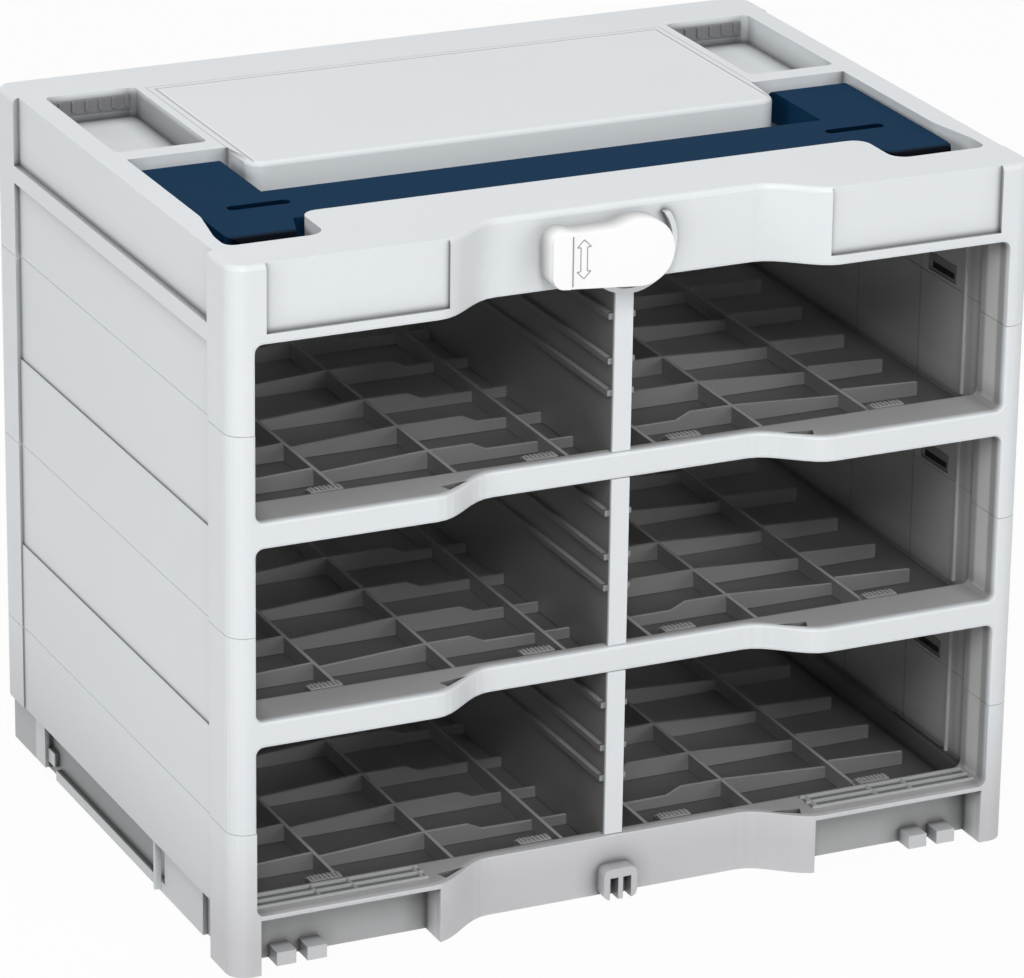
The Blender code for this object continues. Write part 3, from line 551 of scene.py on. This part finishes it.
# A groove parts the finger end from the lever's flat face, and a plain two-headed arrow beside it
# shows which ways it turns. Both are fine lines pressed in the tool, drawn as thin grey bars on the
# face: the groove's grey is painted shade, and the arrow is drawn in the same grey.
line_grey = moulded_plastic("line_grey", (0.26, 0.26, 0.27), rough=0.6)
face_y = -0.14662
arrow_x, arrow_z, tip, barb, shaft = -0.0292, 0.3191, 0.0091, (0.0034, 0.0056), 0.0016
groove_x, groove_foot, groove_head = -0.0345, 0.3068, 0.3302
arrow_half, groove_half, line_depth, end_gap = 0.00022, 0.00032, 0.00012, 0.00004
quarter = np.array([(0, tip), barb, (shaft, barb[1])])
right = np.concatenate([quarter, quarter[::-1] * (1, -1)])
outline = np.concatenate([right, right[::-1] * (-1, 1)])
outline = spots(arrow_x + outline[:, 0], face_y, arrow_z + outline[:, 1])
following = np.roll(outline, -1, axis=0)
apart = np.linalg.norm(following - outline, axis=1) > 1e-6
start = np.concatenate([outline[apart], [(groove_x, face_y, groove_foot)]])
end = np.concatenate([following[apart], [(groove_x, face_y, groove_head)]])
inset = end_gap * (end - start) / np.linalg.norm(end - start, axis=1, keepdims=True)
half_line = np.append(np.full(len(start) - 1, arrow_half), groove_half)
latch_lines = bars("latch_lines", start + inset, end - inset,
                   half_w=half_line, half_h=line_depth, up=(0, 1, 0), mat=line_grey, points=8)
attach(latch_lines, "latch")

# Studio: a white sweep, one large soft key from the front left above and weaker fills. The
# camera stands left of the front and a little above, its place and lens solved from the picture.
scene = bpy.context.scene
scene.view_settings.view_transform = "Standard"
cam_data = bpy.data.cameras.new("rack_camera")
cam_data.sensor_fit = "HORIZONTAL"
cam_data.sensor_width = 36.0
cam_data.lens = 201.99
cam_data.clip_end = 60.0
camera = bpy.data.objects.new("rack_camera", cam_data)
camera.location = (-1.07361, -2.30845, 1.12690)
camera.rotation_euler = (1.206064, -0.013190, -0.432360)
scene.collection.objects.link(camera)
scene.camera = camera


def seen_directly(tree):
    """1 for rays from the camera and for those that a glossy or clear surface sends on."""
    path = tree.nodes.new("ShaderNodeLightPath")
    sent_on = sum_of(tree, "MAXIMUM", path.outputs["Is Glossy Ray"], path.outputs["Is Transmission Ray"])
    return sum_of(tree, "MAXIMUM", path.outputs["Is Camera Ray"], sent_on)


half_floor, floor_white = 9.0, 0.95
floor_mesh = bpy.data.meshes.new("studio_floor")
corners = [(sx * half_floor, sy * half_floor, 0) for sx, sy in ((-1, -1), (1, -1), (1, 1), (-1, 1))]
floor_mesh.from_pydata(corners, [], [(0, 1, 2, 3)])
floor = bpy.data.objects.new("studio_floor", floor_mesh)
scene.collection.objects.link(floor)
floor_mat = bpy.data.materials.new("studio_floor")
floor_mat.use_nodes = True
tree = floor_mat.node_tree
bsdf = tree.nodes["Principled BSDF"]
bsdf.inputs["Base Color"].default_value = (0.8, 0.8, 0.8, 1)
bsdf.inputs["Roughness"].default_value = 0.9
glow = tree.nodes.new("ShaderNodeEmission")
mix = tree.nodes.new("ShaderNodeMixShader")
tree.links.new(sum_of(tree, "MULTIPLY", seen_directly(tree), floor_white), mix.inputs["Fac"])
tree.links.new(bsdf.outputs["BSDF"], mix.inputs[1])
tree.links.new(glow.outputs["Emission"], mix.inputs[2])
tree.links.new(mix.outputs["Shader"], tree.nodes["Material Output"].inputs["Surface"])
floor_mesh.materials.append(floor_mat)

world = bpy.data.worlds.new("studio")
scene.world = world
world.use_nodes = True
tree = world.node_tree
sky = tree.nodes["Background"]
sky.inputs["Color"].default_value = (1, 1, 1, 1)
level = tree.nodes.new("ShaderNodeMapRange")
level.inputs["To Min"].default_value = 0.22
level.inputs["To Max"].default_value = 1.0
tree.links.new(seen_directly(tree), level.inputs["Value"])
tree.links.new(level.outputs["Result"], sky.inputs["Strength"])

rack_middle = np.array([0.0, 0.0, 0.17])
lamps = (("key", (-0.9, -2.6, 2.4), 1.3, 59.0), ("front", (1.6, -3.0, 1.1), 1.4, 18.0),
         ("left", (-3.2, -0.6, 1.4), 1.5, 30.0), ("top", (0.2, 0.4, 3.0), 1.8, 23.0))
for name, place, size, watts in lamps:
    light = bpy.data.lights.new(name, "AREA")
    light.size = size
    light.energy = watts
    lamp = bpy.data.objects.new(name, light)
    lamp.location = place
    aim = rack_middle - np.array(place)
    lamp.rotation_euler = (np.arctan2(np.hypot(aim[0], aim[1]), -aim[2]), 0.0, np.arctan2(-aim[0], aim[1]))
    scene.collection.objects.link(lamp)
